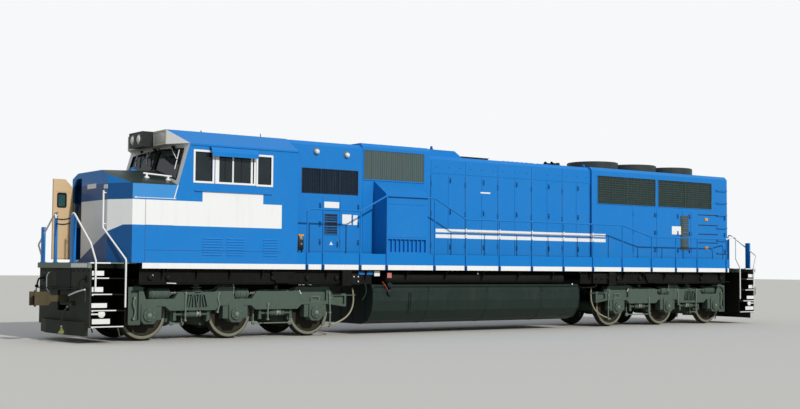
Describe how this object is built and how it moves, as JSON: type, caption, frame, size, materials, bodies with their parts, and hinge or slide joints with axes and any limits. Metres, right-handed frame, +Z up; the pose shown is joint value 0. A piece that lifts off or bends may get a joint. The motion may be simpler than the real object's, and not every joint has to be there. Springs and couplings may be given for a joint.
{
  "type": "diesel-electric freight locomotive",
  "caption": "Six-axle wide-nose diesel-electric freight locomotive with swivelling trucks, turning wheelsets and roof fans, swinging couplers and opening nose and cab doors.",
  "frame": {"origin": "on the floor at the wheel flanges, under the middle of the coupled length", "axes": "+X forward, +Y to the driver's left, +Z up"},
  "size_m": [22.56, 3.38, 4.6884],
  "materials": {
    "blue_paint": "gloss",
    "black_paint": "satin",
    "truck_grey": "matt",
    "wheel_steel": "worn",
    "window_glass": "clear",
    "seat_cloth": "matt",
    "cab_lining": "satin",
    "white_paint": "gloss",
    "coupler_iron": "rough",
    "galvanised": "satin",
    "engine_iron": "rough",
    "rubber": "matt",
    "brass": "worn",
    "lamp_glass": "clear",
    "cream_paint": "satin"
  },
  "bodies": {
    "main_body": {"underframe": "black_paint", "front_pilot": "black_paint", "rear_pilot": "black_paint", "fuel_tank": "black_paint", "air_reservoirs": "black_paint", "nose": "blue_paint", "cab_left_side": "blue_paint", "cab_right_side": "blue_paint", "cab_cowl": "blue_paint", "cab_front": "white_paint", "cab_roof": "blue_paint", "headlight_housing": "white_paint", "cab_rear_wall": "blue_paint", "cab_glass": "window_glass", "cab_seats": "seat_cloth", "cab_floor": "cab_lining", "electrical_cabinet": "blue_paint", "intake_hood": "blue_paint", "engine_hood": "blue_paint", "radiator_hood": "blue_paint", "fan_guards": "galvanised", "engine_block": "engine_iron", "exhaust_stack": "engine_iron", "horn": "galvanised", "left_handrails": "blue_paint", "right_handrails": "blue_paint", "front_handrails": "white_paint", "rear_handrails": "white_paint", "front_brake_hose": "rubber", "front_hose_coupling": "brass"},
    "nose_door": {"nose_door": "cream_paint"},
    "cab_rear_door": {"cab_rear_door": "blue_paint"},
    "front_coupler": {"front_coupler": "coupler_iron"},
    "rear_coupler": {"rear_coupler": "coupler_iron"},
    "front_truck": {"front_truck_frame": "truck_grey", "front_motors": "truck_grey"},
    "rear_truck": {"rear_truck_frame": "truck_grey", "rear_motors": "truck_grey"},
    "front_fan": {"front_fan": "galvanised"},
    "middle_fan": {"middle_fan": "galvanised"},
    "rear_fan": {"rear_fan": "galvanised"},
    "front_wheelset_1": {"front_wheelset_1": "wheel_steel"},
    "front_wheelset_2": {"front_wheelset_2": "wheel_steel"},
    "front_wheelset_3": {"front_wheelset_3": "wheel_steel"},
    "rear_wheelset_1": {"rear_wheelset_1": "wheel_steel"},
    "rear_wheelset_2": {"rear_wheelset_2": "wheel_steel"},
    "rear_wheelset_3": {"rear_wheelset_3": "wheel_steel"}
  },
  "joints": [
    {"name": "front_truck_swivel", "type": "hinge", "parent": "main_body", "child": "front_truck", "pos_m": [7.068, 0, 1.2], "axis": [0, 0, 1], "range_deg": [-5, 5]},
    {"name": "front_axle_1", "type": "hinge", "parent": "front_truck", "child": "front_wheelset_1", "pos_m": [9.147, 0, 0.562], "axis": [0, 1, 0], "continuous": true},
    {"name": "front_axle_2", "type": "hinge", "parent": "front_truck", "child": "front_wheelset_2", "pos_m": [7.068, 0, 0.562], "axis": [0, 1, 0], "continuous": true},
    {"name": "front_axle_3", "type": "hinge", "parent": "front_truck", "child": "front_wheelset_3", "pos_m": [4.989, 0, 0.562], "axis": [0, 1, 0], "continuous": true},
    {"name": "front_coupler_swing", "type": "hinge", "parent": "main_body", "child": "front_coupler", "pos_m": [10.4, 0, 0.9046], "axis": [0, 0, 1], "range_deg": [-7, 7]},
    {"name": "rear_truck_swivel", "type": "hinge", "parent": "main_body", "child": "rear_truck", "pos_m": [-7.068, 0, 1.2], "axis": [0, 0, 1], "range_deg": [-5, 5]},
    {"name": "rear_axle_1", "type": "hinge", "parent": "rear_truck", "child": "rear_wheelset_1", "pos_m": [-9.147, 0, 0.562], "axis": [0, 1, 0], "continuous": true},
    {"name": "rear_axle_2", "type": "hinge", "parent": "rear_truck", "child": "rear_wheelset_2", "pos_m": [-7.068, 0, 0.562], "axis": [0, 1, 0], "continuous": true},
    {"name": "rear_axle_3", "type": "hinge", "parent": "rear_truck", "child": "rear_wheelset_3", "pos_m": [-4.989, 0, 0.562], "axis": [0, 1, 0], "continuous": true},
    {"name": "rear_coupler_swing", "type": "hinge", "parent": "main_body", "child": "rear_coupler", "pos_m": [-10.4, 0, 0.9046], "axis": [0, 0, 1], "range_deg": [-7, 7]},
    {"name": "front_fan_spin", "type": "hinge", "parent": "main_body", "child": "front_fan", "pos_m": [-5.15, 0, 4.45], "axis": [0, 0, 1], "continuous": true},
    {"name": "middle_fan_spin", "type": "hinge", "parent": "main_body", "child": "middle_fan", "pos_m": [-6.76, 0, 4.45], "axis": [0, 0, 1], "continuous": true},
    {"name": "rear_fan_spin", "type": "hinge", "parent": "main_body", "child": "rear_fan", "pos_m": [-8.37, 0, 4.45], "axis": [0, 0, 1], "continuous": true},
    {"name": "nose_door_hinge", "type": "hinge", "parent": "main_body", "child": "nose_door", "pos_m": [10.074, -0.95, 2.5], "axis": [0, 0, 1], "range_deg": [-18, 82]},
    {"name": "cab_rear_door_hinge", "type": "hinge", "parent": "main_body", "child": "cab_rear_door", "pos_m": [5.736, -1.08, 2.5], "axis": [0, 0, 1], "range_deg": [-90, 0]}
  ]
}
